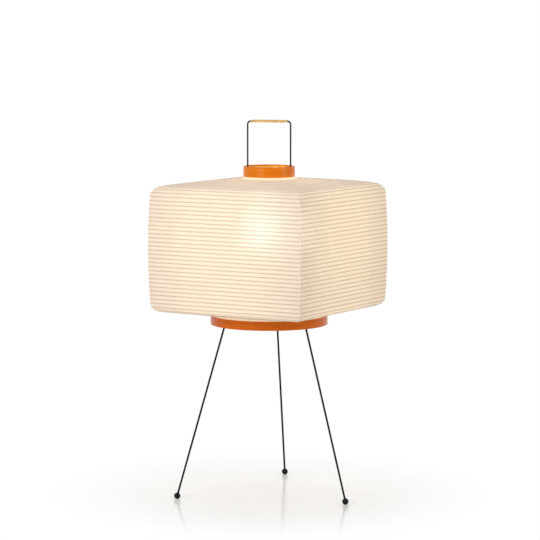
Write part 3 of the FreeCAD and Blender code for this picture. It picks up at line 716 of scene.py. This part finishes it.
def lacquer_material():
    """Bent wood under glossy orange lacquer, its grain running round the collar, with paler bands and dark
    streaks. The large collar is a little darker than the small one: painted shade, from the paper shade
    above it keeping light off it."""
    material, tree, skin = material_named("orange lacquered wood", {
        "Specular IOR Level": 0.24, "Specular Tint": (1.0, 0.85, 0.55, 1)})
    grain = noise(tree, object_place(tree, (14, 14, 900)), 1, 4, 0.65, 0.6)
    band = noise(tree, object_place(tree, (5, 5, 60)), 1, 3, 0.5, 0.3)
    streak = noise(tree, object_place(tree, (4, 4, 1400)), 1, 3, 0.6, 0.4)
    color = mixed(tree, eased(tree, grain, 0.3, 0.72), *LACQUER_GRAIN)
    color = mixed(tree, times(tree, band, 0.5), color, LACQUER_BAND)
    # Painted shade: the large collar, under the paper shade, is made darker
    large = eased(tree, height_above_floor(tree), *LARGE_TO_SMALL_COLLAR, 1, 0)
    color = mixed(tree, large, color, LARGE_COLLAR_PAINTED_SHADE, "MULTIPLY")
    color = mixed(tree, eased(tree, streak, 0.52, 0.66, 0, 0.4), color, LACQUER_STREAK)
    feed(tree, skin, Base_Color=color, Normal=bumped(tree, grain, 0.12, 0.0003),
         Roughness=eased(tree, band, 0.2, 0.8, 0.18, 0.28))
    return material


def bare_wood_material(name, dark, light, stretch):
    """Wood or bamboo without lacquer: two tones and a roughness that follow a stretched grain."""
    material, tree, skin = material_named(name, {"Roughness": 0.55})
    grain = noise(tree, object_place(tree, stretch), 1, 4, 0.6, 0.5)
    feed(tree, skin, Base_Color=mixed(tree, eased(tree, grain, 0.3, 0.7), dark, light),
         Normal=bumped(tree, grain, 0.3, 0.0003), Roughness=eased(tree, grain, 0.2, 0.8, 0.65, 0.45))
    return material


def speckled_material(name, dark, light, rough, metallic=0.0, scale=400, depth=0.00005, shine=0.5):
    """A paint, plastic or metal: two close tones and a roughness that vary with a fine noise, and a faint
    relief."""
    material, tree, skin = material_named(name, {"Metallic": metallic, "Specular IOR Level": shine})
    fine = noise(tree, object_place(tree), scale, 3, 0.6)
    broad = noise(tree, object_place(tree), scale / 12, 2, 0.5)
    feed(tree, skin, Base_Color=mixed(tree, broad, dark, light),
         Roughness=eased(tree, fine, 0.25, 0.75, rough[0], rough[1]), Normal=bumped(tree, fine, 0.3, depth))
    return material


def opal_material():
    """The lit bulb's opal glass: it glows a little less at the neck, with a faint cloudiness."""
    material, tree, skin = material_named("opal glass", {
        "Roughness": 0.25, "Base Color": OPAL, "Emission Color": OPAL_GLOW_TONE,
        "Coat Weight": 0.5, "Coat Roughness": 0.08})
    power = eased(tree, height_above_floor(tree), *BULB_NECK_TO_GLOBE, BULB_NECK_STRENGTH, BULB_STRENGTH)
    cloud = maths(tree, "MULTIPLY_ADD", noise(tree, object_place(tree), 60), 0.1, 0.95)
    feed(tree, skin, Emission_Strength=times(tree, power, cloud))
    return material


def cane_material():
    """Split cane: fine streaks that run along the strip, and broad patches of a warmer tone."""
    material, tree, skin = material_named("cane", {"Coat Weight": 0.35, "Coat Roughness": 0.25})
    place = node(tree, "ShaderNodeUVMap", uv_map="place").outputs[0]
    along = node(tree, "ShaderNodeMapping", {"Vector": place, "Scale": (30, 2600, 1)}).outputs[0]
    streak = noise(tree, along, 1, 3, 0.6)
    patch = noise(tree, object_place(tree), 90, 3, 0.5)
    color = mixed(tree, eased(tree, streak, 0.3, 0.7), *CANE)
    color = mixed(tree, times(tree, patch, 0.5), color, CANE_PATCH)
    feed(tree, skin, Base_Color=color, Normal=bumped(tree, streak, 0.3, 0.0002),
         Roughness=eased(tree, patch, 0.3, 0.7, 0.38, 0.55))
    return material


finishes = {
    "lacquered_wood": lacquer_material(),
    "plain_wood": bare_wood_material("oiled wood", *OILED_WOOD, (14, 14, 700)),
    "black_steel": speckled_material("black paint", *BLACK, (0.42, 0.55), shine=0.12),
    "zinc_steel": speckled_material("zinc plate", *ZINC, (0.25, 0.4), metallic=1.0),
    "brass": speckled_material("brass", *BRASS, (0.2, 0.35), metallic=1.0),
    "knurled_brass": speckled_material("turned brass", *BRASS, (0.22, 0.38), metallic=1.0, scale=700),
    "holder_black": speckled_material("black holder", *HOLDER_BLACK, (0.3, 0.45)),
    "opal_glass": opal_material(),
    "cap_metal": speckled_material("bright cap", *BRIGHT_CAP, (0.22, 0.36), metallic=1.0),
    "insulator": speckled_material("insulator", *INSULATOR, (0.1, 0.2)),
}
for subpart in frame["record"]["subparts"]:
    finish = finishes.get(subpart["material_slot"])
    if finish:
        slots = frame["nodes"][subpart["node"]].data.materials
        slots.clear()
        slots.append(finish)

papers = [paper_material("washi", False), paper_material("washi inside", True)]
for number in range(1, 5):
    side = paper_side(number, papers)
    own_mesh(side)
ribs = bamboo_ribs(bare_wood_material("bamboo", *BAMBOO, (20, 20, 400)))
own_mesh(ribs)
cane_grip(cane_material())

# Camera
camera = placed("camera", bpy.data.cameras.new("camera"))
bpy.context.scene.camera = camera
camera.data.sensor_width = CAMERA_SENSOR
camera.data.lens = CAMERA_LENS
camera.location = (
    CAMERA_SIDE * math.cos(CAMERA_ANGLE) + CAMERA_BACK * math.sin(CAMERA_ANGLE),
    CAMERA_SIDE * math.sin(CAMERA_ANGLE) - CAMERA_BACK * math.cos(CAMERA_ANGLE),
    CAMERA_HEIGHT,
)
camera.rotation_euler = (math.pi / 2 - CAMERA_DROP, 0, CAMERA_ANGLE)


# Floor and world
def looked_at(tree):
    """1 where the camera, a gloss or a clear surface looks at a shader, and 0 where it lights something."""
    path = node(tree, "ShaderNodeLightPath")
    seen = maths(tree, "MAXIMUM", path.outputs["Is Camera Ray"], path.outputs["Is Glossy Ray"])
    return maths(tree, "MAXIMUM", seen, path.outputs["Is Transmission Ray"])


floor_mesh = bpy.data.meshes.new("floor")
floor_corners = [(x * FLOOR_HALF, y * FLOOR_HALF, 0) for x, y in ((-1, -1), (1, -1), (1, 1), (-1, 1))]
floor_mesh.from_pydata(floor_corners, [], [(0, 1, 2, 3)])
floor = placed("floor", floor_mesh)
# Pale and softly reflecting near the lamp, plain white farther out where it is looked at
floor_material, tree, skin = material_named("pale floor", {
    "Base Color": FLOOR_TONE, "Roughness": 0.16, "Specular IOR Level": 0.35,
    "Emission Color": WHITE})
away = node(tree, "ShaderNodeVectorMath", {0: object_place(tree)}, operation="LENGTH").outputs["Value"]
white = node(tree, "ShaderNodeEmission", {"Color": WHITE, "Strength": 1.0}).outputs[0]
seen = looked_at(tree)
feed(tree, skin, Emission_Strength=times(tree, seen, FLOOR_LIFT))
share = times(tree, seen, eased(tree, away, *OPEN_FLOOR))
surface = shaders_mixed(tree, share, skin.outputs[0], white)
tree.links.new(surface, tree.nodes["Material Output"].inputs["Surface"])
floor.data.materials.append(floor_material)

world = bpy.data.worlds.new("studio")
bpy.context.scene.world = world
world.use_nodes = True
tree = world.node_tree
strength = maths(tree, "MULTIPLY_ADD", looked_at(tree), 1 - ROOM_LIGHT, ROOM_LIGHT)
tree.nodes["Background"].inputs["Color"].default_value = WHITE
tree.links.new(strength, tree.nodes["Background"].inputs["Strength"])
bpy.context.scene.view_settings.view_transform = "Standard"


# Lamps
def softbox(name, turn_deg, distance, height, size, power):
    """An area light that faces the shade, the distance away at the camera's angle plus a turn."""
    turn = CAMERA_ANGLE + math.radians(turn_deg)
    data = bpy.data.lights.new(name, "AREA")
    data.shape = "RECTANGLE"
    data.size, data.size_y = size
    data.energy = power
    lamp = placed(name, data)
    lamp.location = (distance * math.sin(turn), -distance * math.cos(turn), height)
    drop = math.atan2(height - LAMPS_AIM_AT, distance)
    lamp.rotation_euler = (math.pi / 2 - drop, 0, turn)
    return lamp


softbox("left softbox", -38, 2.4, 1.1, (1.1, 1.1), LEFT_POWER)
right_softbox = softbox("right softbox", 69, 2.4, 1.0, (0.75, 1.0), RIGHT_POWER)
right_softbox.data.color = RIGHT_TONE
softbox("top softbox", 0, -0.45, 2.2, (1.3, 1.3), TOP_POWER)

bulb_light = bpy.data.lights.new("bulb light", "POINT")
bulb_light.energy = BULB_POWER
bulb_light.color = BULB_LIGHT_TONE
bulb_light.shadow_soft_size = BULB_LIGHT_RADIUS
bulb_light.use_soft_falloff = False
bulb = placed("bulb light", bulb_light)
bulb.location = (0, 0, BULB_CENTRE_Z)
# The light's ball lies just outside the glass and would light it white from all around, so the glass is
# left out of what it lights
left_out = bpy.data.collections.new("not lit by the bulb light")
left_out.objects.link(frame["nodes"]["bulb_glass"])
left_out.collection_objects[0].light_linking.link_state = "EXCLUDE"
bulb.light_linking.receiver_collection = left_out
